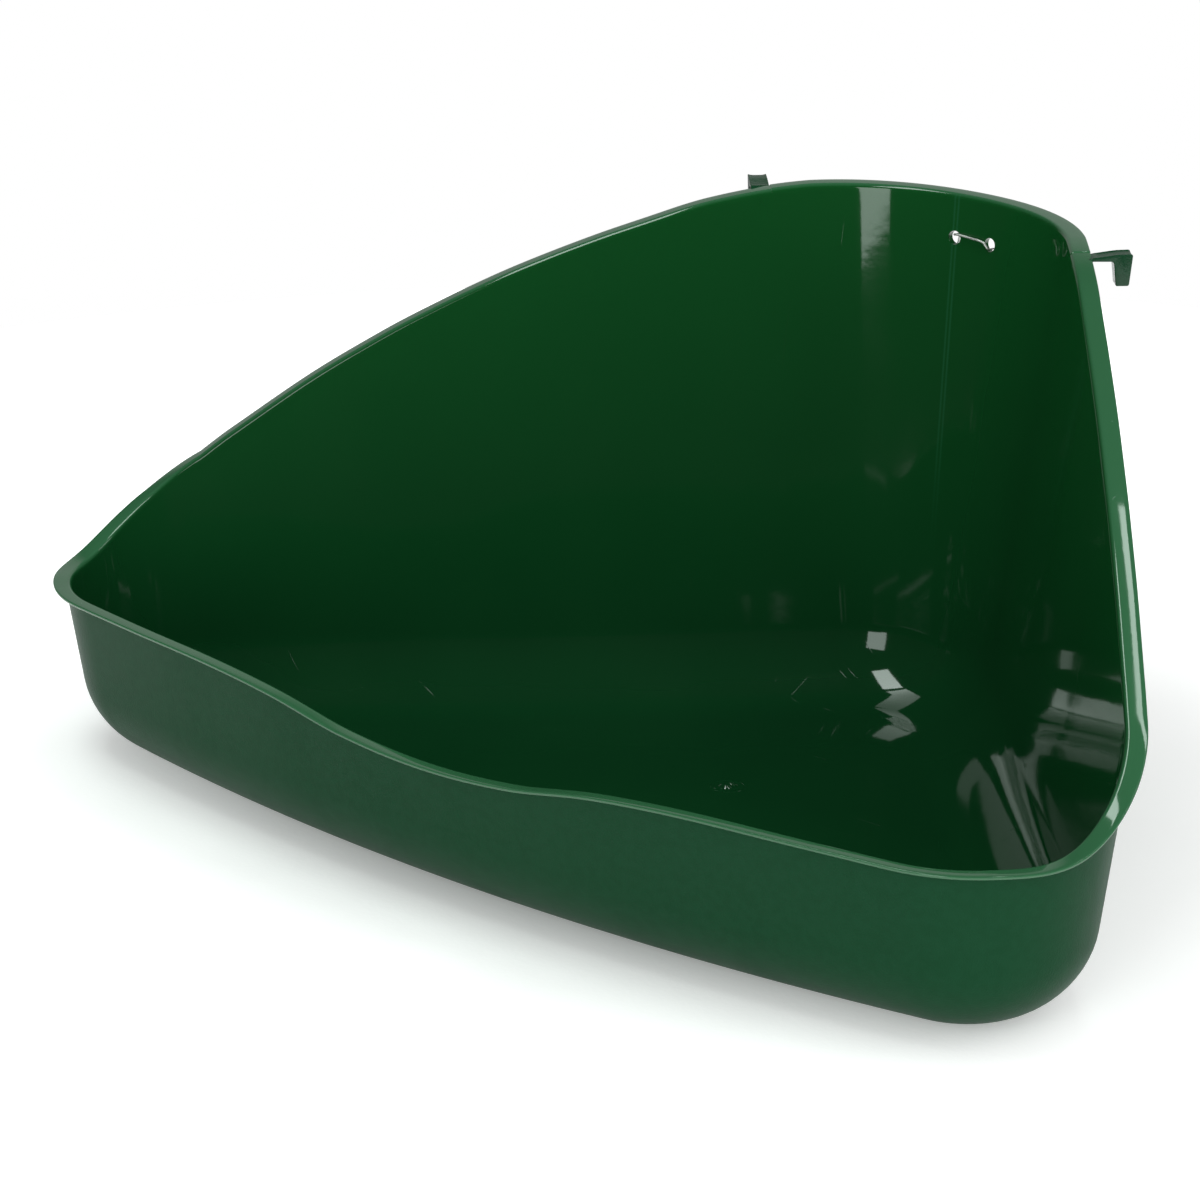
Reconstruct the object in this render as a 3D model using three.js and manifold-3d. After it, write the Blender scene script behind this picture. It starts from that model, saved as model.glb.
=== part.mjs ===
// Corner tray for a cage: one green moulding with a high back corner, a low bowed front and a thin
// outward flange, two moulded hooks that hang it on the cage wire, and a bent wire clip through two
// holes in the back corner. Millimetres, +Z up, +Y towards the cage corner, mirror plane X = 0.
// The origin ends up at the middle of the underside of the whole object's box.
import * as THREE from "three";
import { mergeVertices } from "three/addons/utils/BufferGeometryUtils.js";
import Module from "manifold-3d";

const wasm = await Module();
wasm.setup();

// Plan of the moulding, outer face, at floor level, seen from the plan's centre.
const CENTRE_TO_WALL = 93.1; // to the two side walls and to the middle of the front
const BOW_RADIUS = 776.4; // the front wall is an arc of this radius
const BACK_RADIUS = 37.0; // back corner
const BACK_RADIUS_GROWTH = 0.194; // per mm of height: the back corner opens upwards as a cone
const CORNER_RADIUS = 30.8; // the two front corners
const CORNER_RADIUS_GROWTH = 0.147;
const SIDE_BOW = -1.45; // the side walls are drawn in a little at mid-length
const DRAFT = Math.tan(THREE.MathUtils.degToRad(7.4)); // the side walls lean outwards
const FRONT_DRAFT = Math.tan(THREE.MathUtils.degToRad(9.2));

// Section of the moulding.
const WALL = 1.9; // wall and floor thickness
const FILLET = 22.5; // outer radius between floor and walls
const FLANGE_WIDTH = 3.9; // outside the wall
const FRONT_FLANGE_WIDTH = 2.9; // along the low front
const FLANGE_NARROWS = [2.4, 3.2]; // from and to these stations, see planPoint
const FLANGE_THICKNESS = 1.0;
const RIM_ROUND = 1.5; // rounding of the rim's inner edge

// Height of the rim by bearing from the plan's centre: +X is 0 degrees and +Y, the back, is 90.
const RIM = [
  [90, 151.8], [75, 151.5], [60, 147.4], [48, 141.9], [38, 137.0], [28, 131.2], [20, 125.5], [12, 118.1],
  [5, 109.6], [-2, 97.5], [-8, 81.8], [-13, 64.0], [-18, 52.6], [-24, 51.5], [-34, 51.9], [-46, 51.9],
  [-58, 49.9], [-72, 45.5], [-90, 43.7],
];

// Cage hooks, on the side walls just outside the back corner.
const HOOK_STATION = 1.082; // see planPoint
const HOOK_WIDTH = 5.4;
const HOOK_REACH = 11.0; // from the flange's edge to the tab's outer face
const HOOK_RISE = 1.2; // the arm's top climbs this far above the rim; its underside stays level
const HOOK_DROP = 8.2; // from the rim to the tab's foot
const TAB_TOP_THICKNESS = 5.3;
const TAB_FOOT_THICKNESS = 3.7;
const TAB_SLANT = 0.7; // the tab's inner face leans outwards by this much at its foot

// Wire clip and its two holes.
const HOLE_RADIUS = 2.0;
const HOLE_SPACING = 12.7;
const HOLE_HEIGHT = 139.1;
const WIRE_RADIUS = 0.35;
const WIRE_CLEARANCE = 0.5; // between the wire and either face of the wall
const WIRE_BEND = 1.1; // radius of the clip's bends, at the wire's middle
const PRONG_LENGTH = 11;
const CLIP_TILT = THREE.MathUtils.degToRad(7); // the clip hangs a little askew in its wide holes

// How finely the curves are cut.
const STEPS = [8, 10, 7, 10]; // back corner, side wall, front corner, half of the front
const FILLET_STEPS = 5;
const SEAM_GAP = 0.3; // between a hook's solid and the flange that it is moulded to

const GREEN = new THREE.MeshStandardMaterial({ color: 0x17452a, roughness: 0.3, metalness: 0 });
const STEEL = new THREE.MeshStandardMaterial({ color: 0xb9bcb8, roughness: 0.3, metalness: 1 });

// Rim height at a bearing: a smooth curve through RIM, level at both ends.
function rimHeight(bearing) {
  const last = RIM.length - 1;
  const slope = (i) => {
    if (i === 0 || i === last) return 0;
    return (RIM[i + 1][1] - RIM[i - 1][1]) / (RIM[i + 1][0] - RIM[i - 1][0]);
  };
  let i = 0;
  while (i < last - 1 && bearing < RIM[i + 1][0]) i += 1;
  const [startBearing, startHeight] = RIM[i];
  const [endBearing, endHeight] = RIM[i + 1];
  const span = endBearing - startBearing;
  const t = (bearing - startBearing) / span;
  const rise = (3 - 2 * t) * t * t;
  return (
    startHeight * (1 - rise) +
    endHeight * rise +
    slope(i) * span * t * (1 - t) ** 2 -
    slope(i + 1) * span * t * t * (1 - t)
  );
}

// A point of the outer face's plan at height z, on the +X side, with its outward normal. The station
// runs 0..1 round the back corner, 1..2 along the side wall, 2..3 round the front corner and 3..4
// along half of the front.
function planPoint(station, z) {
  const toWall = CENTRE_TO_WALL + z * DRAFT;
  const backRadius = BACK_RADIUS + z * BACK_RADIUS_GROWTH;
  const cornerRadius = CORNER_RADIUS + z * CORNER_RADIUS_GROWTH;
  const bowRadius = BOW_RADIUS + z * FRONT_DRAFT;
  const backCentre = new THREE.Vector2(0, Math.SQRT2 * (toWall - backRadius));
  const bowCentre = new THREE.Vector2(0, BOW_RADIUS - CENTRE_TO_WALL);

  // The front corner's centre is one corner radius inside the side wall and the front's arc.
  const wallSum = Math.SQRT2 * (toWall - cornerRadius);
  const reach = bowRadius - cornerRadius;
  const offset = wallSum - bowCentre.y;
  const cornerX = (offset + Math.sqrt(2 * reach ** 2 - offset ** 2)) / 2;
  const cornerCentre = new THREE.Vector2(cornerX, wallSum - cornerX);
  const frontAngle = Math.atan2(cornerCentre.y - bowCentre.y, cornerCentre.x);

  const onArc = (centre, radius, angle) => {
    const normal = new THREE.Vector2(Math.cos(angle), Math.sin(angle));
    return { point: centre.clone().addScaledVector(normal, radius), normal };
  };
  const section = Math.min(Math.floor(station), 3);
  const t = station - section;
  if (section === 0) return onArc(backCentre, backRadius, Math.PI / 2 - (t * Math.PI) / 4);
  if (section === 2) {
    return onArc(cornerCentre, cornerRadius, THREE.MathUtils.lerp(Math.PI / 4, frontAngle, t));
  }
  if (section === 3) return onArc(bowCentre, bowRadius, THREE.MathUtils.lerp(frontAngle, -Math.PI / 2, t));
  const start = onArc(backCentre, backRadius, Math.PI / 4);
  const end = onArc(cornerCentre, cornerRadius, Math.PI / 4);
  const point = start.point.lerp(end.point, t);
  return { point: point.addScaledVector(start.normal, SIDE_BOW * 4 * t * (1 - t)), normal: start.normal };
}

function rimHeightAt(station) {
  const { point } = planPoint(station, 0);
  return rimHeight(THREE.MathUtils.radToDeg(Math.atan2(point.y, point.x)));
}

function flangeWidthAt(station) {
  const narrowed = THREE.MathUtils.smoothstep(station, ...FLANGE_NARROWS);
  return THREE.MathUtils.lerp(FLANGE_WIDTH, FRONT_FLANGE_WIDTH, narrowed);
}

// The wall's section under a rim of the given height, from the floor's underside round the flange to
// the floor's inside: each entry is [offset outwards from the outer face, height].
function wallSection(rim, flangeWidth) {
  const ring = [];
  for (let i = 0; i <= FILLET_STEPS; i += 1) {
    const a = (i / FILLET_STEPS) * (Math.PI / 2);
    ring.push([FILLET * (Math.sin(a) - 1), FILLET * (1 - Math.cos(a))]);
  }
  const neck = rim - FLANGE_THICKNESS;
  ring.push([0, (FILLET + neck) / 2], [0, neck]);
  ring.push([flangeWidth, neck], [flangeWidth, rim]);
  for (let i = 0; i <= 2; i += 1) {
    const a = (i / 2) * (Math.PI / 2);
    ring.push([-WALL + RIM_ROUND * (1 - Math.sin(a)), rim - RIM_ROUND * (1 - Math.cos(a))]);
  }
  ring.push([-WALL, (FILLET + rim - RIM_ROUND) / 2]);
  for (let i = FILLET_STEPS; i >= 0; i -= 1) {
    const a = (i / FILLET_STEPS) * (Math.PI / 2);
    ring.push([(FILLET - WALL) * Math.sin(a) - FILLET, FILLET - (FILLET - WALL) * Math.cos(a)]);
  }
  return ring;
}

// Stations all the way round: down the +X side from the back, and back up the -X side.
function stationsRound() {
  const half = [];
  STEPS.forEach((steps, section) => {
    for (let i = 0; i < steps; i += 1) half.push(section + i / steps);
  });
  const right = half.map((station) => ({ station, side: 1 }));
  const left = [...half.slice(1), 4].reverse().map((station) => ({ station, side: -1 }));
  return [...right, ...left];
}

function shellGeometry() {
  const columns = stationsRound().map(({ station, side }) =>
    wallSection(rimHeightAt(station), flangeWidthAt(station)).map(([offset, z]) => {
      const { point, normal } = planPoint(station, z);
      point.addScaledVector(normal, offset);
      return [side * point.x, point.y, z];
    }),
  );
  const rows = columns[0].length;
  const around = columns.length;
  const positions = columns.flat(2);
  const underCentre = around * rows;
  const floorCentre = underCentre + 1;
  positions.push(0, 0, 0, 0, 0, WALL);
  const faces = [];
  for (let c = 0; c < around; c += 1) {
    const here = c * rows;
    const next = ((c + 1) % around) * rows;
    faces.push(underCentre, here, next);
    faces.push(floorCentre, next + rows - 1, here + rows - 1);
    for (let r = 0; r < rows - 1; r += 1) {
      faces.push(here + r, here + r + 1, next + r);
      faces.push(next + r, here + r + 1, next + r + 1);
    }
  }
  const geometry = new THREE.BufferGeometry();
  geometry.setAttribute("position", new THREE.Float32BufferAttribute(positions, 3));
  geometry.setIndex(faces);
  return geometry;
}

function toSolid(geometry) {
  const bare = geometry.clone();
  bare.deleteAttribute("normal");
  bare.deleteAttribute("uv");
  const merged = mergeVertices(bare, 1e-4);
  return new wasm.Manifold(
    new wasm.Mesh({
      numProp: 3,
      vertProperties: new Float32Array(merged.attributes.position.array),
      triVerts: new Uint32Array(merged.index.array),
    }),
  );
}

function toGeometry(solid) {
  const { vertProperties, triVerts } = solid.getMesh();
  const geometry = new THREE.BufferGeometry();
  geometry.setAttribute("position", new THREE.BufferAttribute(vertProperties, 3));
  geometry.setIndex(new THREE.BufferAttribute(triVerts, 1));
  geometry.computeVertexNormals();
  return geometry;
}

function namedMesh(name, geometry, material) {
  const mesh = new THREE.Mesh(geometry, material);
  mesh.name = name;
  return mesh;
}

// Middle of the wall between its faces, where the clip passes through its holes.
function clipPivot() {
  const toWall = CENTRE_TO_WALL + HOLE_HEIGHT * DRAFT;
  const backRadius = BACK_RADIUS + HOLE_HEIGHT * BACK_RADIUS_GROWTH;
  const centreY = Math.SQRT2 * (toWall - backRadius);
  const midWall = backRadius - WALL / 2;
  return new THREE.Vector3(0, centreY + Math.sqrt(midWall ** 2 - (HOLE_SPACING / 2) ** 2), HOLE_HEIGHT);
}

// The moulding with its two clip holes.
function trayShell() {
  let shell = toSolid(shellGeometry());
  const pivot = clipPivot();
  for (const side of [-1, 1]) {
    const drill = new THREE.CylinderGeometry(HOLE_RADIUS, HOLE_RADIUS, 8 * WALL, 16);
    drill.translate(side * (HOLE_SPACING / 2), pivot.y, pivot.z);
    shell = shell.subtract(toSolid(drill));
  }
  return namedMesh("tray_shell", toGeometry(shell), GREEN);
}

// A hook: a short arm straight out from the flange and a tapered tab that drops behind the cage wire.
function cageHook(name, side) {
  const top = rimHeightAt(HOOK_STATION);
  const { point } = planPoint(HOOK_STATION, top);
  const tabInner = HOOK_REACH - TAB_TOP_THICKNESS;
  const outline = new THREE.Shape([
    new THREE.Vector2(SEAM_GAP, 0),
    new THREE.Vector2(SEAM_GAP, -FLANGE_THICKNESS),
    new THREE.Vector2(tabInner, -FLANGE_THICKNESS),
    new THREE.Vector2(tabInner + TAB_SLANT, -HOOK_DROP),
    new THREE.Vector2(tabInner + TAB_SLANT + TAB_FOOT_THICKNESS, -HOOK_DROP),
    new THREE.Vector2(HOOK_REACH, HOOK_RISE),
  ]);
  const geometry = new THREE.ExtrudeGeometry(outline, { depth: HOOK_WIDTH, bevelEnabled: false, steps: 1 });
  geometry.translate(FLANGE_WIDTH, 0, -HOOK_WIDTH / 2);
  geometry.rotateX(Math.PI / 2);
  const hook = namedMesh(name, geometry, GREEN);
  hook.rotation.z = side > 0 ? Math.PI / 4 : (3 * Math.PI) / 4;
  hook.position.set(side * point.x, point.y, top);
  return hook;
}

// The clip: a bridge inside the corner, a leg through each hole and a prong folded down outside.
function wireClip() {
  const pivot = clipPivot();
  const half = HOLE_SPACING / 2;
  const offWall = WALL / 2 + WIRE_CLEARANCE + WIRE_RADIUS;
  const prongFoot = new THREE.Vector3(half, offWall - PRONG_LENGTH * DRAFT, -PRONG_LENGTH);
  const corners = [
    prongFoot,
    new THREE.Vector3(half, offWall, 0),
    new THREE.Vector3(half, -offWall, 0),
    new THREE.Vector3(-half, -offWall, 0),
    new THREE.Vector3(-half, offWall, 0),
    prongFoot.clone().setX(-half),
  ];
  const path = new THREE.CurvePath();
  let from = corners[0];
  for (let i = 1; i < corners.length - 1; i += 1) {
    const corner = corners[i];
    const towards = (other) => corner.clone().add(other.clone().sub(corner).setLength(WIRE_BEND));
    const bendStart = towards(corners[i - 1]);
    const bendEnd = towards(corners[i + 1]);
    path.add(new THREE.LineCurve3(from, bendStart));
    path.add(new THREE.QuadraticBezierCurve3(bendStart, corner, bendEnd));
    from = bendEnd;
  }
  path.add(new THREE.LineCurve3(from, corners.at(-1)));
  const section = new THREE.Shape().absarc(0, 0, WIRE_RADIUS, 0, 2 * Math.PI);
  const wire = new THREE.ExtrudeGeometry(section, { curveSegments: 4, steps: 56, extrudePath: path });
  const clip = namedMesh("wire_clip", wire, STEEL);
  clip.rotation.y = CLIP_TILT;
  clip.position.copy(pivot);
  return clip;
}

const tray = new THREE.Group();
tray.add(trayShell());
tray.add(cageHook("cage_hook_right", 1));
tray.add(cageHook("cage_hook_left", -1));
tray.add(wireClip());

// Bring the middle of the object's box over the origin.
const box = new THREE.Box3().setFromObject(tray, true);
tray.position.y = -(box.min.y + box.max.y) / 2;

export default tray;
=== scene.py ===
# Fine visual model of a green plastic corner tray that hangs in a cage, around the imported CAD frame.
# Metres, +Z up, +Y towards the cage corner. Lengths below are in millimetres until MM turns them.
import bmesh
import bpy
import math
import numpy as np
from mathutils import Matrix, Vector, noise


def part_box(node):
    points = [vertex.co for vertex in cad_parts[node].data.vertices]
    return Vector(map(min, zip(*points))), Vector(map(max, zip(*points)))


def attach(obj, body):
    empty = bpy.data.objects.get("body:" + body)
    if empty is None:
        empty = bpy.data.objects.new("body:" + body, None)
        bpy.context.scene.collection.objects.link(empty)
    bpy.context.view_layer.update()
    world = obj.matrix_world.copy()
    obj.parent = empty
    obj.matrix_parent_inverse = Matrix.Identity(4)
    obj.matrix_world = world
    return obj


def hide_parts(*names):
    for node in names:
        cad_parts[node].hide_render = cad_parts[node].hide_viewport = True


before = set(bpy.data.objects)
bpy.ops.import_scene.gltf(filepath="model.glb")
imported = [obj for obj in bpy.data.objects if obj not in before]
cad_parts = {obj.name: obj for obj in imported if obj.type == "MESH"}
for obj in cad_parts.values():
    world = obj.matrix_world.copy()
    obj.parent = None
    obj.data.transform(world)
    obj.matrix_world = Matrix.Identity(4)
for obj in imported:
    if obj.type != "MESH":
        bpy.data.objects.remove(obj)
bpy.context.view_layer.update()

MM = 0.001

# ---------------------------------------------------------------- dimensions, as in the CAD model
CENTRE_TO_WALL = 93.1
BOW_RADIUS = 776.4
BACK_RADIUS = 37.0
BACK_RADIUS_GROWTH = 0.194
CORNER_RADIUS = 30.8
CORNER_RADIUS_GROWTH = 0.147
SIDE_BOW = -1.45
DRAFT = math.tan(math.radians(7.4))
FRONT_DRAFT = math.tan(math.radians(9.2))
WALL = 1.9
FILLET = 22.5
FLANGE_WIDTH = 3.9
FRONT_FLANGE_WIDTH = 2.9
FLANGE_NARROWS = (2.4, 3.2)
FLANGE_THICKNESS = 1.0
RIM = [
    (-90, 43.7), (-72, 45.5), (-58, 49.9), (-46, 51.9), (-34, 51.9), (-24, 51.5), (-18, 52.6),
    (-13, 64.0), (-8, 81.8), (-2, 97.5), (5, 109.6), (12, 118.1), (20, 125.5), (28, 131.2),
    (38, 137.0), (48, 141.9), (60, 147.4), (75, 151.5), (90, 151.8),
]
HOOK_STATION = 1.082
HOOK_WIDTH = 5.4
HOOK_REACH = 11.0
HOOK_RISE = 1.2
HOOK_DROP = 8.2
TAB_TOP_THICKNESS = 5.3
TAB_FOOT_THICKNESS = 3.7
TAB_SLANT = 0.7
HOLE_RADIUS = 2.0
HOLE_SPACING = 12.7
HOLE_HEIGHT = 139.1
WIRE_RADIUS = 0.34

# The plan's centre is at x = 0; the frame's origin is the middle of the object's box.
PLAN_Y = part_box("tray_shell")[0].y / MM + CENTRE_TO_WALL + RIM[0][1] * FRONT_DRAFT + FRONT_FLANGE_WIDTH

# Details that only the fine model has. Stations are those of plan_point().
EDGE_ROUND = 0.38  # the flange's outer edge
RIM_ROUND = 1.35  # between the flange's top and the inner face
NECK_ROUND = 0.8  # hollow between the wall and the flange's underside
FLANGE_SHORT = 0.13  # keeps the smooth edge inside the widest corners of the faceted one
STEP = 0.22  # the flange is this much lower in front of each hook
STEP_STATION = HOOK_STATION - 0.0155  # at the hook's back edge
STEP_LENGTH = 0.0012  # as a station
STEP_FADES = (1.3, 1.7)  # stations over which the flange comes back to its full height
SINK = 0.28  # depth of the sink mark inside each hook
SINK_WIDTH = 0.0052  # as a station
SINK_TOP, SINK_FOOT = (1.5, 3.2), (5.0, 8.5)  # below the rim, where it fades in and where it fades out
HOOK_ROOT = 1.6  # how far the hook's arm reaches into the flange
HOOK_EDGE = 0.32  # rounding of the hook's edges
TAB_TAPER = 0.07  # the tab's foot is narrower than its top by this share
DISH = 0.34  # the hook's arm is this much lower along its middle
GATE_Y = 21.5  # the moulding gate on the floor, from the plan's centre towards the back

# How finely the moulding is divided.
WALL_ROWS = 26
FILLET_ROWS = 16
NECK_ROWS = 4
EDGE_ROWS = 4
RIM_ROWS = 8
FLOOR_RINGS = 9
STATION_STEPS = (44, 120, 44, 84)  # back corner, side wall, front corner, half of the front


# ---------------------------------------------------------------- the moulding's shape
def smoothstep(x, low, high):
    t = np.clip((x - low) / (high - low), 0, 1)
    return (3 - 2 * t) * t * t


def rim_height(bearing):
    """Rim height by bearing from the plan's centre in degrees, +X 0 and +Y 90: the CAD model's curve."""
    knots = np.array(RIM, float)
    x, y = knots[:, 0], knots[:, 1]
    slope = np.zeros(len(x))
    slope[1:-1] = (y[2:] - y[:-2]) / (x[2:] - x[:-2])
    i = np.clip(np.searchsorted(x, bearing) - 1, 0, len(x) - 2)
    span = x[i + 1] - x[i]
    t = (bearing - x[i]) / span
    rise = (3 - 2 * t) * t * t
    return (y[i] * (1 - rise) + y[i + 1] * rise
            + slope[i] * span * t * (1 - t) ** 2 - slope[i + 1] * span * t * t * (1 - t))


def plan_point(station, z):
    """Points (x, y) of the outer face's plan on the +X side and their outward normals (nx, ny).
    The station runs 0..1 round the back corner, 1..2 along the side wall, 2..3 round the front corner
    and 3..4 along half of the front. station and z are arrays of one shape."""
    to_wall = CENTRE_TO_WALL + z * DRAFT
    back_r = BACK_RADIUS + z * BACK_RADIUS_GROWTH
    corner_r = CORNER_RADIUS + z * CORNER_RADIUS_GROWTH
    bow_r = BOW_RADIUS + z * FRONT_DRAFT
    back_y = math.sqrt(2) * (to_wall - back_r)
    bow_y = BOW_RADIUS - CENTRE_TO_WALL
    wall_sum = math.sqrt(2) * (to_wall - corner_r)
    offset = wall_sum - bow_y
    corner_x = (offset + np.sqrt(2 * (bow_r - corner_r) ** 2 - offset ** 2)) / 2
    corner_y = wall_sum - corner_x
    front_a = np.arctan2(corner_y - bow_y, corner_x)

    section = np.minimum(np.floor(station), 3)
    t = station - section
    quarter = math.pi / 4
    angle = np.select(
        [section == 0, section == 1, section == 2],
        [math.pi / 2 - t * quarter, quarter + 0 * t, quarter + (front_a - quarter) * t],
        front_a + (-math.pi / 2 - front_a) * t)
    along = np.where(section == 1, t, 0)
    cx = np.select([section == 0, section == 1, section == 2], [0 * t, corner_x * along, corner_x], 0 * t)
    cy = np.select([section == 0, section == 1, section == 2],
                   [back_y, back_y + (corner_y - back_y) * along, corner_y], bow_y + 0 * t)
    side_r = back_r + (corner_r - back_r) * along + SIDE_BOW * 4 * t * (1 - t)
    radius = np.select([section == 0, section == 1, section == 2], [back_r, side_r, corner_r], bow_r)
    nx, ny = np.cos(angle), np.sin(angle)
    return cx + radius * nx, cy + radius * ny, nx, ny


def rim_at(station):
    """The rim's height above the underside at that station."""
    x, y, _, _ = plan_point(station, 0 * station)
    return rim_height(np.degrees(np.arctan2(y, x)))


def moulded_rim_at(station):
    """The rim with its mould-line step: lower in front of the hook, coming back along the side wall."""
    step = smoothstep(station, STEP_STATION - STEP_LENGTH, STEP_STATION)
    return rim_at(station) - STEP * step * (1 - smoothstep(station, *STEP_FADES))


def flange_width_at(station):
    """The flange's width, which is less along the front."""
    width = FLANGE_WIDTH + (FRONT_FLANGE_WIDTH - FLANGE_WIDTH) * smoothstep(station, *FLANGE_NARROWS)
    return width - FLANGE_SHORT


def arc(centre, radius, start, end, steps):
    """Points (offset, height) round a centre, from start to end in degrees, both ends included."""
    a = np.radians(np.linspace(start, end, steps + 1))
    return [(centre[0] + radius * math.cos(b), centre[1] + radius * math.sin(b)) for b in a]


def wall_section(rim, flange):
    """The wall's section: (offset outwards from the outer face, height), from the floor's underside
    round the flange to the floor's inside. Rows are closer together near the rim."""
    neck = rim - FLANGE_THICKNESS
    ring = arc((-FILLET, FILLET), FILLET, -90, 0, FILLET_ROWS)
    top = neck - NECK_ROUND
    ring += [(0, top - (top - FILLET) * (1 - i / WALL_ROWS) ** 1.5) for i in range(1, WALL_ROWS)]
    ring += arc((NECK_ROUND, top), NECK_ROUND, 180, 90, NECK_ROWS)
    ring += arc((flange - EDGE_ROUND, neck + EDGE_ROUND), EDGE_ROUND, -90, 0, EDGE_ROWS)
    ring += arc((flange - EDGE_ROUND, rim - EDGE_ROUND), EDGE_ROUND, 0, 90, EDGE_ROWS)
    ring += [(flange / 2, rim)]
    ring += arc((RIM_ROUND - WALL, rim - RIM_ROUND), RIM_ROUND, 90, 180, RIM_ROWS)
    top = rim - RIM_ROUND
    ring += [(-WALL, top - (top - FILLET) * (i / WALL_ROWS) ** 1.5) for i in range(1, WALL_ROWS)]
    ring += arc((-FILLET, FILLET), FILLET - WALL, 0, -90, FILLET_ROWS)
    return ring


# Rows of wall_section(), counted from its first one.
SATIN_ROWS = FILLET_ROWS + WALL_ROWS + NECK_ROWS + 1  # the outside, up to under the flange
FLANGE_EDGE_ROWS = 2 * EDGE_ROWS + 1  # then the flange's edge
INNER_ROW = SATIN_ROWS + FLANGE_EDGE_ROWS + 2  # first row of the rim's inner rounding


def stations_round():
    """Stations and sides (+1 or -1) all the way round, finer beside the hooks."""
    half = np.concatenate([s + np.arange(n) / n for s, n in enumerate(STATION_STEPS)])
    near_hook = HOOK_STATION + np.linspace(-0.03, 0.03, 41)
    at_step = [STEP_STATION - STEP_LENGTH, STEP_STATION]
    half = np.unique(np.concatenate([half, near_hook, at_step]).round(5))
    station = np.concatenate([half, [4.0], half[:0:-1]])
    side = np.concatenate([np.ones(len(half)), -np.ones(len(half))])
    return station, side


def sink_mark(station, below_rim):
    """How far the inner face is drawn in behind a hook's root."""
    across = (station - HOOK_STATION) / SINK_WIDTH
    tall = smoothstep(below_rim, *SINK_TOP) * (1 - smoothstep(below_rim, *SINK_FOOT))
    return SINK * np.exp(-across ** 2) * tall


def shell_arrays():
    """Vertices (mm, plan frame) and faces of the moulding without its holes and hooks, and each
    vertex's finish (1 on the satin outside, 0 on the polished rest), edge (1 on the flange's outer
    edge) and flange weight (1 on the flange, where it is painted paler as painted light and where nicks
    go)."""
    station, side = stations_round()
    rim = moulded_rim_at(station)
    profile = np.array([wall_section(h, w) for h, w in zip(rim, flange_width_at(station))])
    offset, z = profile[:, :, 0].copy(), profile[:, :, 1].copy()
    spread = station[:, None] + 0 * z
    inner = np.arange(z.shape[1])[None] >= INNER_ROW
    offset += np.where(inner, sink_mark(spread, rim[:, None] - z), 0)
    x, y, nx, ny = plan_point(spread, z)
    rings = np.stack([(x + offset * nx) * side[:, None], y + offset * ny, z], -1)

    # The floor closes towards the plan's centre in rings of its own, below and inside.
    share = 1 - np.arange(1, FLOOR_RINGS) / FLOOR_RINGS
    below = rings[:, :1] * np.stack([share, share, 0 * share], -1)
    inside = rings[:, -1:] * np.stack([share, share, 0 * share], -1)
    inside[:, :, 2] = WALL
    satin = len(share) + SATIN_ROWS
    rings = np.concatenate([below[:, ::-1], rings, inside], 1)
    around, rows = rings.shape[:2]
    verts = rings.reshape(-1, 3).tolist() + [(0, 0, 0), (0, 0, WALL)]
    finish = np.tile(np.where(np.arange(rows) < satin, 1.0, 0.0), around).tolist() + [1.0, 0.0]
    row = np.arange(rows) - satin
    edge = np.where((row >= 0) & (row < FLANGE_EDGE_ROWS), 1.0, 0.0)
    edge = np.tile(edge, around).tolist() + [0.0, 0.0]
    # 1 on the flange, fading off either side: where the flange is painted paler as painted light, and
    #                                          where nicks go.
    painted_flange_light_and_nicks = np.interp(row, [-NECK_ROWS - 2, 0, FLANGE_EDGE_ROWS + 4, FLANGE_EDGE_ROWS + 8], [0, 1, 1, 0])
    painted_flange_light_and_nicks = np.tile(painted_flange_light_and_nicks, around).tolist() + [0.0, 0.0]
    c = np.arange(around)
    here, after = c * rows, ((c + 1) % around) * rows
    quads = [np.stack([here + r, here + r + 1, after + r + 1, after + r], -1) for r in range(rows - 1)]
    faces = np.concatenate(quads).tolist()
    under, over = around * rows, around * rows + 1
    faces += [(under, a, b) for a, b in zip(here.tolist(), after.tolist())]
    faces += [(over, b + rows - 1, a + rows - 1) for a, b in zip(here.tolist(), after.tolist())]
    return verts, faces, finish, edge, painted_flange_light_and_nicks


def new_object(name, verts, faces, material=None):
    """A mesh object from vertices in mm in the plan frame."""
    mesh = bpy.data.meshes.new(name)
    mesh.from_pydata([(x * MM, (y + PLAN_Y) * MM, z * MM) for x, y, z in verts], [], faces)
    mesh.update()
    if material:
        mesh.materials.append(material)
    obj = bpy.data.objects.new(name, mesh)
    bpy.context.scene.collection.objects.link(obj)
    return obj


def set_values(obj, name, values):
    """Gives each vertex a number that the materials read by name."""
    layer = obj.data.attributes.new(name, "FLOAT", "POINT")
    layer.data.foreach_set("value", values)


def smooth(obj, sharp_degrees=38):
    """Smooth shading, with the edges that turn by more than sharp_degrees kept sharp."""
    bm = bmesh.new()
    bm.from_mesh(obj.data)
    bmesh.ops.recalc_face_normals(bm, faces=bm.faces)
    for face in bm.faces:
        face.smooth = True
    for edge in bm.edges:
        edge.smooth = edge.is_manifold and edge.calc_face_angle(0) < math.radians(sharp_degrees)
    bm.to_mesh(obj.data)
    bm.free()


def keep_modifiers(obj):
    """Replaces the object's mesh by what its modifiers make of it."""
    deps = bpy.context.evaluated_depsgraph_get()
    mesh = bpy.data.meshes.new_from_object(obj.evaluated_get(deps))
    obj.modifiers.clear()
    obj.data = mesh


def cut(obj, tool):
    """Takes the tool's shape out of the object, and removes the tool."""
    mod = obj.modifiers.new("cut", "BOOLEAN")
    mod.operation = "DIFFERENCE"
    mod.object = tool
    mod.solver = "EXACT"
    keep_modifiers(obj)
    bpy.data.objects.remove(tool)


def bevel(obj, width, degrees):
    """Rounds the edges that turn by more than that angle; the width is in mm."""
    mod = obj.modifiers.new("bevel", "BEVEL")
    mod.width = width * MM
    mod.segments = 3
    mod.limit_method = "ANGLE"
    mod.angle_limit = math.radians(degrees)
    keep_modifiers(obj)


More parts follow.
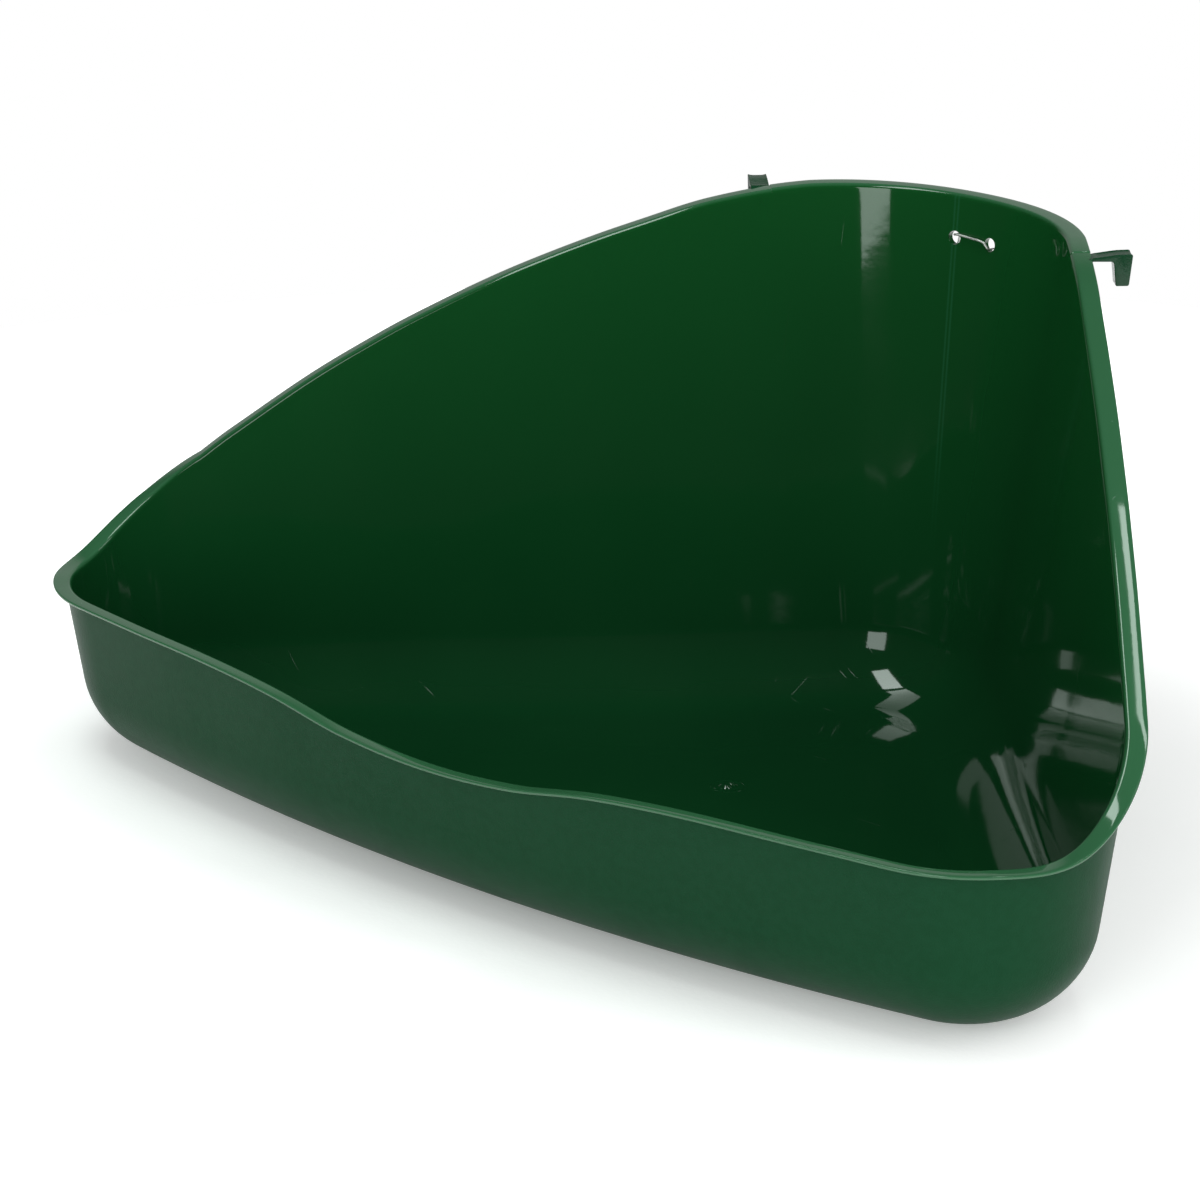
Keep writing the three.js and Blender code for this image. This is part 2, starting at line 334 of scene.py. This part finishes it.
def rod(name, start, end, radius, sides=48):
    """A plain cylinder between two points (mm, plan frame), for cutting."""
    start, end = Vector(start), Vector(end)
    turn = (end - start).to_track_quat("Z", "Y")
    verts = []
    for centre in (start, end):
        for i in range(sides):
            a = 2 * math.pi * i / sides
            verts.append(centre + turn @ Vector((radius * math.cos(a), radius * math.sin(a), 0)))
    faces = [tuple(range(sides - 1, -1, -1)), tuple(range(sides, 2 * sides))]
    faces += [(i, (i + 1) % sides, sides + (i + 1) % sides, sides + i) for i in range(sides)]
    return new_object(name, verts, faces)


def make_shell(polished, satin):
    """The moulding with its two clip holes: polished inside and on the flange, satin outside."""
    verts, faces, finish, edge, painted_flange_light_and_nicks = shell_arrays()
    shell = new_object("tray_moulding", verts, faces, polished)
    shell.data.materials.append(satin)
    set_values(shell, "edge", edge)
    set_values(shell, "painted_flange_light_and_nicks", painted_flange_light_and_nicks)
    outside = [all(finish[v] for v in face) for face in faces]
    shell.data.polygons.foreach_set("material_index", [int(x) for x in outside])
    hole_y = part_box("wire_clip")[0].y / MM - PLAN_Y
    for side in (-1, 1):
        x = side * HOLE_SPACING / 2
        tool = rod("drill", (x, hole_y - 10, HOLE_HEIGHT), (x, hole_y + 15, HOLE_HEIGHT), HOLE_RADIUS)
        cut(shell, tool)
    smooth(shell)
    return shell


# ---------------------------------------------------------------- hooks
def rounded(points, radii, steps=4):
    """A closed outline with each corner rounded by its own radius."""
    out = []
    count = len(points)
    for i, radius in enumerate(radii):
        here = np.array(points[i], float)
        before, after = (np.array(points[j % count], float) - here for j in (i - 1, i + 1))
        if radius == 0:
            out.append(tuple(here))
            continue
        start = here + before / np.linalg.norm(before) * radius
        end = here + after / np.linalg.norm(after) * radius
        for k in range(steps + 1):
            t = k / steps
            out.append(tuple(start * (1 - t) ** 2 + here * 2 * t * (1 - t) + end * t * t))
    return out


def make_hook(name, side, material):
    """A hook with a dished arm and rounded edges, rooted in the flange."""
    top = float(moulded_rim_at(np.array([HOOK_STATION]))[0])
    x0, y0, _, _ = (float(v[0]) for v in plan_point(np.array([HOOK_STATION]), np.array([top])))
    tab = HOOK_REACH - TAB_TOP_THICKNESS
    low = STEP / 2 - FLANGE_THICKNESS
    foot = STEP - HOOK_DROP
    corners = [
        (-HOOK_ROOT, -0.45), (-HOOK_ROOT, low), (tab, low - 0.1), (tab + TAB_SLANT, foot),
        (tab + TAB_SLANT + TAB_FOOT_THICKNESS, foot), (HOOK_REACH, HOOK_RISE),
        (tab + 1.0, HOOK_RISE - 0.1), (1.2, 0.35), (0.0, 0.12),
    ]
    outline = rounded(corners, [0, 0, 0.9, 0.45, 0.6, 0.75, 1.2, 0.8, 0.4])
    rows = 13
    verts, faces = [], []
    diagonal = math.sqrt(0.5)
    for r in range(rows):
        w = HOOK_WIDTH * (r / (rows - 1) - 0.5)
        dish = DISH * (1 - (2 * w / HOOK_WIDTH) ** 4)
        for u, v in outline:
            on_top = float(smoothstep(v, -0.3, 0.3) * smoothstep(u, 0.4, 2.0))
            across = w * (1 - TAB_TAPER * max(0.0, -v) / HOOK_DROP)
            offset = FLANGE_WIDTH + u
            px = x0 + (offset + across) * diagonal
            py = y0 + (offset - across) * diagonal
            verts.append((side * px, py, top + v - dish * on_top))
    n = len(outline)
    for r in range(rows - 1):
        for i in range(n):
            a, b = r * n + i, r * n + (i + 1) % n
            faces.append((a, b, b + n, a + n))
    faces += [tuple(range(n - 1, -1, -1)), tuple(range((rows - 1) * n, rows * n))]
    hook = new_object(name, verts, faces, material)
    smooth(hook, 180)
    bevel(hook, HOOK_EDGE, 50)
    smooth(hook, 60)
    return hook


# ---------------------------------------------------------------- gate mark
def make_gate(material):
    """The moulding gate on the floor: a nub broken off a little unevenly, in a shallow ring."""
    profile = [
        (0.0, 1.06), (0.9, 1.1), (1.45, 0.99), (2.0, 0.62), (2.5, 0.22), (2.85, 0.06), (3.05, 0.03),
        (3.2, 0.03), (3.9, 0.05), (4.15, 0.17), (4.45, 0.2), (4.75, 0.1), (5.1, -0.12),
    ]
    around = 72
    verts = [(0, GATE_Y, WALL + profile[0][1])]
    for radius, height in profile[1:]:
        for i in range(around):
            a = 2 * math.pi * i / around
            x, y = radius * math.cos(a), radius * math.sin(a)
            torn = 0.18 * noise.noise(Vector((x * 0.9, y * 0.9, 3.1))) if radius < 2.4 else 0
            notch = 0.45 * max(0.0, math.cos(a - 0.2)) ** 6 if 0.5 < radius < 2.3 else 0
            verts.append((x, GATE_Y + y, WALL + height + torn - notch))
    faces = [(0, 1 + i, 1 + (i + 1) % around) for i in range(around)]
    for r in range(len(profile) - 2):
        a, b = 1 + r * around, 1 + (r + 1) * around
        faces += [(a + i, b + i, b + (i + 1) % around, a + (i + 1) % around) for i in range(around)]
    gate = new_object("gate_mark", verts, faces, material)
    smooth(gate, 50)
    return gate


# ---------------------------------------------------------------- wire clip
def through(points, steps):
    """A smooth curve through the points (Catmull-Rom), ends included."""
    p = [Vector(q) for q in points]
    p = [p[0] * 2 - p[1]] + p + [p[-1] * 2 - p[-2]]
    out = []
    for i in range(1, len(p) - 2):
        a, b, c, d = p[i - 1], p[i], p[i + 1], p[i + 2]
        for k in range(steps):
            t = k / steps
            out.append(0.5 * (2 * b + (c - a) * t + (2 * a - 5 * b + 4 * c - d) * t ** 2
                              + (3 * b - a - 3 * c + d) * t ** 3))
    return out + [p[-2]]


def tube(points, radius, sides):
    """Vertices and faces of a round tube along the points, with slightly domed cut ends."""
    verts, faces = [], []
    tangents = [(points[min(i + 1, len(points) - 1)] - points[max(i - 1, 0)]).normalized()
                for i in range(len(points))]
    normal = tangents[0].orthogonal().normalized()
    rings = [(points[0] - tangents[0] * radius * 0.3, tangents[0], 0.6)]
    rings += [(p, t, 1.0) for p, t in zip(points, tangents)]
    rings += [(points[-1] + tangents[-1] * radius * 0.3, tangents[-1], 0.6)]
    for centre, tangent, scale in rings:
        normal = (normal - tangent * normal.dot(tangent)).normalized()
        other = tangent.cross(normal)
        for i in range(sides):
            a = 2 * math.pi * i / sides
            verts.append(centre + (normal * math.cos(a) + other * math.sin(a)) * radius * scale)
    for r in range(len(rings) - 1):
        for i in range(sides):
            a, b = r * sides + i, r * sides + (i + 1) % sides
            faces.append((a, b, b + sides, a + sides))
    last = (len(rings) - 1) * sides
    faces += [tuple(range(sides - 1, -1, -1)), tuple(range(last, last + sides))]
    return verts, faces


def make_wire(material):
    """The clip as it was bent by hand: x across, y outwards and z up from the middle of the wall."""
    radius = BACK_RADIUS + HOLE_HEIGHT * BACK_RADIUS_GROWTH - WALL / 2
    centre_y = math.sqrt(2) * (CENTRE_TO_WALL + HOLE_HEIGHT * DRAFT) - (radius + WALL / 2) * math.sqrt(2)
    pivot = Vector((0, centre_y + math.sqrt(radius ** 2 - (HOLE_SPACING / 2) ** 2), HOLE_HEIGHT))
    path = [
        (-7.55, 0.62, -10.6), (-7.2, 0.95, -7.0), (-6.85, 1.35, -3.0), (-6.6, 1.7, -0.6),
        (-6.45, 1.45, 0.5), (-6.35, 0.3, 0.8), (-6.2, -0.9, 0.95), (-5.8, -1.6, 1.2),
        (-4.9, -1.78, 1.34), (-3.0, -1.8, 1.3), (0.5, -1.8, 1.08), (2.8, -1.8, 0.95),
        (4.6, -1.8, 0.6), (5.6, -1.75, -0.25), (6.05, -1.45, -1.1), (6.15, -0.5, -1.45),
        (6.2, 0.6, -1.5), (6.3, 1.45, -1.75), (6.35, 1.6, -2.8), (6.2, 1.2, -6.0),
        (5.9, 0.75, -9.0), (5.75, 0.6, -11.1),
    ]
    points = through([Vector(p) + pivot for p in path], 8)
    verts, faces = tube(points, WIRE_RADIUS, 20)
    wire = new_object("wire_clip_bent", verts, faces, material)
    smooth(wire, 50)
    return wire


# ---------------------------------------------------------------- materials
class Nodes:
    """A material's node tree, built one node per call."""

    def __init__(self, name):
        self.material = bpy.data.materials.new(name)
        self.material.use_nodes = True
        self.tree = self.material.node_tree
        self.shader = self.tree.nodes["Principled BSDF"]
        self.place = self.add("ShaderNodeTexCoord").outputs["Object"]

    def add(self, kind, settings=(), **inputs):
        node = self.tree.nodes.new(kind)
        for key, value in dict(settings).items():
            setattr(node, key, value)
        for key, value in inputs.items():
            self.set(node.inputs[key.replace("_", " ")], value)
        return node

    def set(self, socket, value):
        if isinstance(value, bpy.types.NodeSocket):
            self.tree.links.new(value, socket)
        else:
            socket.default_value = value

    def stretched(self, scale, turn=0.0):
        node = self.add("ShaderNodeMapping", Vector=self.place, Scale=scale)
        node.inputs["Rotation"].default_value = (0, 0, turn)
        return node.outputs["Vector"]

    def noise(self, scale, detail=3.0, rough=0.5, vector=None):
        return self.add("ShaderNodeTexNoise", Vector=vector or self.place, Scale=scale, Detail=detail,
                        Roughness=rough).outputs["Fac"]

    def remap(self, value, low, high, to_low=0.0, to_high=1.0, kind="SMOOTHSTEP"):
        node = self.add("ShaderNodeMapRange", {"interpolation_type": kind}, Value=value)
        ranges = (("From Min", low), ("From Max", high), ("To Min", to_low), ("To Max", to_high))
        for key, number in ranges:
            self.set(node.inputs[key], number)
        return node.outputs["Result"]

    def math(self, operation, a, b=0.0):
        node = self.add("ShaderNodeMath", {"operation": operation})
        self.set(node.inputs[0], a)
        self.set(node.inputs[1], b)
        return node.outputs["Value"]

    def mix(self, share, a, b):
        node = self.add("ShaderNodeMix", {"data_type": "RGBA"})
        self.set(node.inputs[0], share)
        self.set(node.inputs[6], a)
        self.set(node.inputs[7], b)
        return node.outputs[2]

    def attribute(self, name):
        return self.add("ShaderNodeAttribute", {"attribute_name": name}).outputs["Fac"]

    def bump(self, height, distance, normal=None, strength=1.0):
        node = self.add("ShaderNodeBump", Height=height, Distance=distance, Strength=strength)
        if normal is not None:
            self.set(node.inputs["Normal"], normal)
        return node.outputs["Normal"]

    def specks(self, scale, share, radius):
        """Small round dots in some cells: 1 on the dots, 0 between them."""
        node = self.add("ShaderNodeTexVoronoi", Vector=self.place, Scale=scale)
        dot = self.remap(node.outputs["Distance"], radius * 0.6, radius, 1.0, 0.0)
        chosen = self.math("LESS_THAN", self.add("ShaderNodeSeparateColor",
                                                 Color=node.outputs["Color"]).outputs["Red"], share)
        return self.math("MULTIPLY", dot, chosen)

    def scratches(self, scale, turn, low, high):
        """Thin lines broken up along their length: 1 on a line."""
        line = self.noise(1.0, 1.0, 0.4, self.stretched(scale, turn))
        kept = self.remap(self.noise(34.0, 1.0), 0.5, 0.62)
        return self.math("MULTIPLY", self.remap(line, low, high), kept)


def pale_double_line(n):
    """A faint, paler double line down the wall behind the left clip hole,
    1.2 mm wide from middle to middle."""
    place = n.add("ShaderNodeSeparateXYZ", Vector=n.place).outputs
    slope = -0.5 * HOLE_SPACING / (BACK_RADIUS + BACK_RADIUS_GROWTH * HOLE_HEIGHT)
    lean = n.math("MULTIPLY", place["Z"], slope * BACK_RADIUS_GROWTH)
    line_x = n.math("ADD", slope * BACK_RADIUS * MM, lean)
    aside = n.math("ABSOLUTE", n.math("SUBTRACT", place["X"], line_x))
    from_line = n.math("ABSOLUTE", n.math("SUBTRACT", aside, 0.6 * MM))
    line = n.remap(from_line, 0.1 * MM, 0.45 * MM, 1.0, 0.0)
    on_back = n.math("GREATER_THAN", place["Y"], 60 * MM)
    return n.math("MULTIPLY", n.math("MULTIPLY", line, on_back), n.remap(place["Z"], 40 * MM, 100 * MM))


def green_plastic(name, satin, roughness, ior):
    """Injection-moulded polypropylene, from a spark-textured (satin) or a polished mould face."""
    n = Nodes(name)
    edge = n.attribute("edge")
    broad = n.remap(n.noise(9.0, 3.0, 0.55), 0.3, 0.7)
    fine = n.remap(n.noise(420.0, 2.0), 0.35, 0.65)
    if satin:
        colour = n.mix(fine, (0.0024, 0.036, 0.0125, 1), (0.0034, 0.040, 0.0150, 1))
        colour = n.mix(n.math("MULTIPLY", broad, 0.35), colour, (0.0050, 0.044, 0.0170, 1))
    else:
        colour = n.mix(broad, (0.0032, 0.048, 0.0095, 1), (0.0040, 0.054, 0.0110, 1))
        # Painted shade: the polished faces are painted darker towards the bottom, fading out by 150 mm
        # up, where less light reaches into the tray.
        painted_shade_colour = n.mix(broad, (0.0024, 0.028, 0.0080, 1), (0.0032, 0.033, 0.0095, 1))
        height = n.add("ShaderNodeSeparateXYZ", Vector=n.place).outputs["Z"]
        colour = n.mix(n.remap(height, 0.0, 0.15, kind="LINEAR"), painted_shade_colour, colour)
        colour = n.mix(n.math("MULTIPLY", pale_double_line(n), 0.45), colour, (0.0120, 0.085, 0.0350, 1))
        # Painted light: the flange is painted a paler green, standing in for the light that the narrow
        # flange catches and lets through.
        colour = n.mix(n.attribute("painted_flange_light_and_nicks"), colour, (0.0250, 0.098, 0.0430, 1))
    worn = n.math("MULTIPLY", edge, n.remap(n.noise(260.0, 4.0, 0.7), 0.46, 0.66))
    nicks = n.math("MULTIPLY", n.specks(210.0, 0.12, 0.10), n.remap(n.noise(24.0, 2.0), 0.5, 0.6))
    nicks = n.math("MULTIPLY", nicks, n.attribute("painted_flange_light_and_nicks"))
    colour = n.mix(n.math("MULTIPLY", worn, 0.4), colour, (0.020, 0.085, 0.040, 1))
    colour = n.mix(n.math("MULTIPLY", nicks, 0.7), colour, (0.16, 0.30, 0.20, 1))
    dust = n.specks(62.0, 0.07, 0.020)
    colour = n.mix(n.math("MULTIPLY", dust, 0.5), colour, (0.10, 0.18, 0.13, 1))
    n.set(n.shader.inputs["Base Color"], colour)

    smear = n.remap(n.noise(38.0, 4.0, 0.62, n.stretched((1.0, 1.0, 0.35))), 0.42, 0.72)
    lines = n.math("MAXIMUM", n.scratches((26.0, 1500.0, 26.0), 0.5, 0.735, 0.80),
                   n.scratches((1300.0, 22.0, 22.0), 0.22, 0.745, 0.81))
    rough = n.math("ADD", roughness, n.math("MULTIPLY", smear, 0.06 if satin else 0.025))
    rough = n.math("ADD", rough, n.math("MULTIPLY", worn, 0.10))
    n.set(n.shader.inputs["Roughness"], n.math("ADD", rough, n.math("MULTIPLY", lines, 0.06)))

    wave = n.bump(n.noise(19.0, 1.0, 0.4), 0.00014)
    peel = n.bump(n.noise(210.0, 2.0), 0.00001, wave)
    if satin:
        peel = n.bump(n.noise(2100.0, 2.0, 0.6), 0.00008, peel)
    raised = n.math("MULTIPLY", n.math("MAXIMUM", dust, worn), 0.5)
    marks = n.math("SUBTRACT", raised, n.math("MAXIMUM", lines, nicks))
    n.set(n.shader.inputs["Normal"], n.bump(marks, 0.000015, peel))
    n.shader.inputs["IOR"].default_value = ior
    return n.material


def steel_wire():
    """Thin drawn steel, a little dull."""
    n = Nodes("steel_wire")
    dull = n.remap(n.noise(900.0, 4.0, 0.65), 0.4, 0.7)
    tint = n.mix(dull, (0.93, 0.93, 0.91, 1), (0.66, 0.65, 0.62, 1))
    n.set(n.shader.inputs["Base Color"], tint)
    n.shader.inputs["Metallic"].default_value = 1.0
    n.set(n.shader.inputs["Roughness"], n.math("ADD", 0.42, n.math("MULTIPLY", dull, 0.16)))
    drawn = n.noise(1.0, 2.0, 0.5, n.stretched((300.0, 4200.0, 4200.0)))
    n.set(n.shader.inputs["Normal"], n.bump(drawn, 0.00002, n.bump(n.noise(700.0, 3.0), 0.00002)))
    return n.material


def pale_floor():
    """A white table top that glows as painted light, faintly near the tray and more towards its rim,
    which lifts the tray's shadow and fades the table into the white around it.
    """
    n = Nodes("pale_floor")
    mottle = n.remap(n.noise(14.0, 4.0, 0.6), 0.3, 0.7)
    n.set(n.shader.inputs["Base Color"], n.mix(mottle, (0.90, 0.90, 0.90, 1), (0.93, 0.93, 0.93, 1)))
    n.set(n.shader.inputs["Roughness"], n.math("ADD", 0.55, n.math("MULTIPLY", mottle, 0.1)))
    n.set(n.shader.inputs["Normal"], n.bump(n.noise(600.0, 2.0), 0.00004))
    away = n.add("ShaderNodeVectorMath", {"operation": "LENGTH"}, Vector=n.place).outputs["Value"]
    # Painted light: the floor glows, a little under the tray and more towards its rim, lifting the shadow
    # and fading into the white around it.
    n.shader.inputs["Emission Color"].default_value = (1, 1, 1, 1)
    n.set(n.shader.inputs["Emission Strength"], n.remap(away, 0.05, 0.42, 0.18, 0.7))
    return n.material


# ---------------------------------------------------------------- stage, light and camera
FLOOR_GAP = 0.0003  # under the tray
CAMERA_AZIMUTH = 41.714
CAMERA_ELEVATION = 19.083
CAMERA_DISTANCE = 1.2578
CAMERA_TARGET = (-0.00037, -0.0321, 0.0712)  # from the plan's centre
CAMERA_LENS = 140.485
SKY_LEFT, SKY_RIGHT, SKY_TOP = 0.08, 1.7, 0.9  # soft light on the tray; the top is a share of the sides
MIRRORED_DARK, MIRRORED_BACKDROP = 0.02, 0.38  # the room and the backdrop as polished faces mirror them


def make_camera():
    data = bpy.data.cameras.new("camera")
    data.lens = CAMERA_LENS
    data.sensor_width = 36
    data.clip_start, data.clip_end = 0.05, 30
    cam = bpy.data.objects.new("camera", data)
    bpy.context.scene.collection.objects.link(cam)
    az, el = math.radians(CAMERA_AZIMUTH), math.radians(CAMERA_ELEVATION)
    back = Vector((math.sin(az) * math.cos(el), -math.cos(az) * math.cos(el), math.sin(el)))
    cam.location = Vector(CAMERA_TARGET) + Vector((0, PLAN_Y * MM, 0)) + back * CAMERA_DISTANCE
    cam.rotation_euler = (-back).to_track_quat("-Z", "Y").to_euler()
    bpy.context.scene.camera = cam


def softbox(name, place, look_at, along, width, height, radiance):
    """A rectangular light at place that faces look_at (metres), with its height along a direction."""
    place, look_at, along = Vector(place), Vector(look_at), Vector(along)
    facing = (place - look_at).normalized()
    upright = (along - facing * along.dot(facing)).normalized()
    data = bpy.data.lights.new(name, "AREA")
    data.shape = "RECTANGLE"
    data.size, data.size_y = width, height
    data.energy = radiance * math.pi * width * height
    data.color = (0.88, 1.0, 0.94)
    lamp = bpy.data.objects.new(name, data)
    bpy.context.scene.collection.objects.link(lamp)
    lamp.location = place
    lamp.rotation_euler = Matrix((upright.cross(facing), upright, facing)).transposed().to_euler()
    return lamp


def make_world():
    """White to the camera and even soft light on the tray; polished faces mirror a dark room with a
    pale backdrop low behind the tray."""
    world = bpy.data.worlds.new("studio")
    bpy.context.scene.world = world
    world.use_nodes = True
    tree = world.node_tree
    link = tree.links.new

    def add(kind, **settings):
        node = tree.nodes.new(kind)
        for key, value in settings.items():
            setattr(node, key, value)
        return node

    def remap(value, low, high, to_low, to_high):
        node = add("ShaderNodeMapRange", interpolation_type="SMOOTHSTEP")
        ranges = (("From Min", low), ("From Max", high), ("To Min", to_low), ("To Max", to_high))
        for key, number in ranges:
            node.inputs[key].default_value = number
        link(value, node.inputs["Value"])
        return node.outputs["Result"]

    def grey(strength):
        node = add("ShaderNodeBackground")
        node.inputs["Color"].default_value = (1, 1, 1, 1)
        if isinstance(strength, bpy.types.NodeSocket):
            link(strength, node.inputs["Strength"])
        else:
            node.inputs["Strength"].default_value = strength
        return node.outputs[0]

    def choose(share, a, b):
        node = add("ShaderNodeMixShader")
        link(share, node.inputs[0])
        link(a, node.inputs[1])
        link(b, node.inputs[2])
        return node.outputs[0]

    place = add("ShaderNodeTexCoord").outputs["Generated"]
    az = math.radians(CAMERA_AZIMUTH)
    behind = add("ShaderNodeVectorMath", operation="DOT_PRODUCT")
    behind.inputs[1].default_value = (-math.sin(az), math.cos(az), 0)
    link(place, behind.inputs[0])
    up = add("ShaderNodeSeparateXYZ")
    link(place, up.inputs[0])
    backdrop = remap(behind.outputs["Value"], 0.78, 0.92, MIRRORED_DARK, MIRRORED_BACKDROP)
    overhead = remap(up.outputs["Z"], -0.2, 0.9, 1.0, SKY_TOP)
    sideways = remap(up.outputs["X"], -0.8, 0.9, SKY_LEFT, SKY_RIGHT)
    soft = add("ShaderNodeMath", operation="MULTIPLY")
    link(overhead, soft.inputs[0])
    link(sideways, soft.inputs[1])
    soft = soft.outputs["Value"]
    rays = add("ShaderNodeLightPath")
    mirrored = choose(rays.outputs["Is Glossy Ray"], grey(soft), grey(backdrop))
    seen = choose(rays.outputs["Is Camera Ray"], mirrored, grey(1.0))
    link(seen, tree.nodes["World Output"].inputs["Surface"])


def make_floor():
    """A round white table top."""
    rings, around = (0.2, 0.4, 0.55), 96
    verts = [(0, 0, 0)]
    for radius in rings:
        for i in range(around):
            a = 2 * math.pi * i / around
            verts.append((radius * math.cos(a), radius * math.sin(a), 0))
    faces = [(0, 1 + i, 1 + (i + 1) % around) for i in range(around)]
    for r in range(len(rings) - 1):
        a, b = 1 + r * around, 1 + (r + 1) * around
        faces += [(a + i, b + i, b + (i + 1) % around, a + (i + 1) % around) for i in range(around)]
    mesh = bpy.data.meshes.new("floor")
    mesh.from_pydata(verts, [], faces)
    mesh.materials.append(pale_floor())
    obj = bpy.data.objects.new("floor", mesh)
    bpy.context.scene.collection.objects.link(obj)
    obj.location.z = -FLOOR_GAP


make_camera()
bpy.context.scene.view_settings.view_transform = "Standard"
make_world()
make_floor()
softbox("tall_box", (0.62, -1.75, 0.62), (-0.02, 0.08, 0.05), (0, 0, 1), 0.55, 1.15, 4.4)
softbox("front_overhead", (-0.212, -0.307, 1.15), (-0.02, 0.05, 0.02), (0.67, -0.74, 0), 0.26, 0.62, 8.0)
softbox("right_overhead", (0.22, 0.17, 1.05), (0.15, 0.0, 0.08), (0.707, -0.707, 0), 0.08, 0.46, 8.0)

polished = green_plastic("green_polished", False, 0.05, 1.5)
satin = green_plastic("green_satin", True, 0.42, 1.16)
half_gloss = green_plastic("green_half_gloss", True, 0.24, 1.4)
shell = make_shell(polished, satin)
hooks = [make_hook("hook_right", 1, half_gloss), make_hook("hook_left", -1, half_gloss)]
gate = make_gate(polished)
wire = make_wire(steel_wire())

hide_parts("tray_shell")
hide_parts("cage_hook_right")
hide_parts("cage_hook_left")
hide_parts("wire_clip")
for piece in [shell, gate] + hooks:
    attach(piece, "tray")
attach(wire, "clip")
